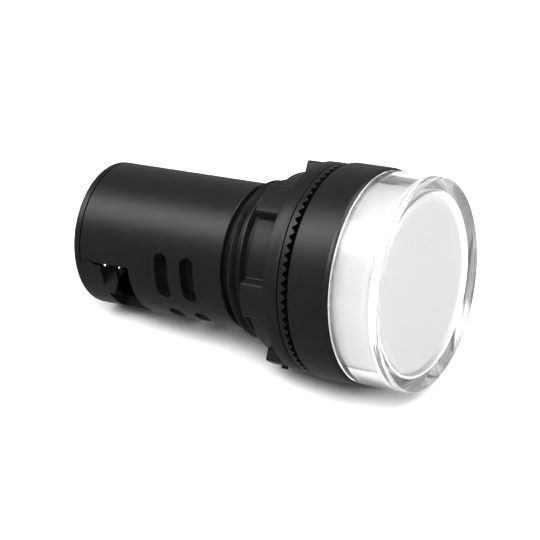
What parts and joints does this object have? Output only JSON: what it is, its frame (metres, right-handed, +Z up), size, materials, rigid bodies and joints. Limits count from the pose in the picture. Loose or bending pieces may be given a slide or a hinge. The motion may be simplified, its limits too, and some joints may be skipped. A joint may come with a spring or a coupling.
{
  "type": "panel pilot light",
  "caption": "Round panel pilot light with a clear cap over a white diffuser, threaded neck, castellated nut and vented rear housing with screw terminals.",
  "frame": {"origin": "centre of the bezel's rear face, on the lamp's axis, where the panel's outer face lies", "axes": "+Y along the lamp's axis towards its rear, +Z up, so the lens faces -Y"},
  "size_m": [0.029, 0.05, 0.029],
  "materials": {
    "clear_lens": "clear polished moulding",
    "white_diffuser": "milky white",
    "black_plastic": "fine satin texture",
    "block_plastic": "satin",
    "gasket_rubber": "matte",
    "circuit_board": "solder-masked board",
    "led_package": "white package with a phosphor well",
    "capacitor_case": "dark grey moulded box",
    "rectifier_case": "moulded case",
    "resistor_case": "lacquered body with tinned leads",
    "brass_plate": "bright stamped",
    "plated_steel": "zinc plated"
  },
  "bodies": {
    "lamp": {"lens": "clear_lens", "diffuser": "white_diffuser", "led_board": "circuit_board", "led_1": "led_package", "led_2": "led_package", "led_3": "led_package", "led_4": "led_package", "led_5": "led_package", "led_6": "led_package", "bezel_body": "black_plastic", "sealing_gasket": "gasket_rubber", "rear_housing": "black_plastic", "driver_board": "circuit_board", "film_capacitor": "capacitor_case", "bridge_rectifier": "rectifier_case", "resistor_1": "resistor_case", "resistor_2": "resistor_case", "terminal_block": "block_plastic", "terminal_plate_1": "brass_plate", "terminal_plate_2": "brass_plate", "rear_cap": "black_plastic"},
    "tooth_washer": {"tooth_washer": "black_plastic"},
    "retaining_nut": {"retaining_nut": "black_plastic"},
    "clamp_washer_1": {"clamp_washer_1": "plated_steel"},
    "terminal_screw_1": {"terminal_screw_1": "plated_steel"},
    "clamp_washer_2": {"clamp_washer_2": "plated_steel"},
    "terminal_screw_2": {"terminal_screw_2": "plated_steel"}
  },
  "joints": [
    {"name": "washer_slide", "type": "slide", "parent": "lamp", "child": "tooth_washer", "axis": [0, 1, 0], "range_m": [0, 0.006]},
    {"name": "nut_turn", "type": "hinge", "parent": "tooth_washer", "child": "retaining_nut", "pos_m": [0, 0, 0], "axis": [0, 1, 0], "range_deg": [0, 1441]},
    {"name": "clamp_1_slide", "type": "slide", "parent": "lamp", "child": "clamp_washer_1", "axis": [0, 1, 0], "range_m": [0, 0.0025]},
    {"name": "screw_1_turn", "type": "hinge", "parent": "clamp_washer_1", "child": "terminal_screw_1", "pos_m": [0.00361, 0.03, -0.00255], "axis": [0, 1, 0], "range_deg": [0, 1801]},
    {"name": "clamp_2_slide", "type": "slide", "parent": "lamp", "child": "clamp_washer_2", "axis": [0, 1, 0], "range_m": [0, 0.0025]},
    {"name": "screw_2_turn", "type": "hinge", "parent": "clamp_washer_2", "child": "terminal_screw_2", "pos_m": [-0.00401, 0.03, 0.00185], "axis": [0, 1, 0], "range_deg": [0, 1801]}
  ],
  "couplings": [
    {"joint": "nut_turn", "follows": "washer_slide", "rad_per_m": 4188.8},
    {"joint": "screw_1_turn", "follows": "clamp_1_slide", "rad_per_m": 12566},
    {"joint": "screw_2_turn", "follows": "clamp_2_slide", "rad_per_m": 12566}
  ]
}
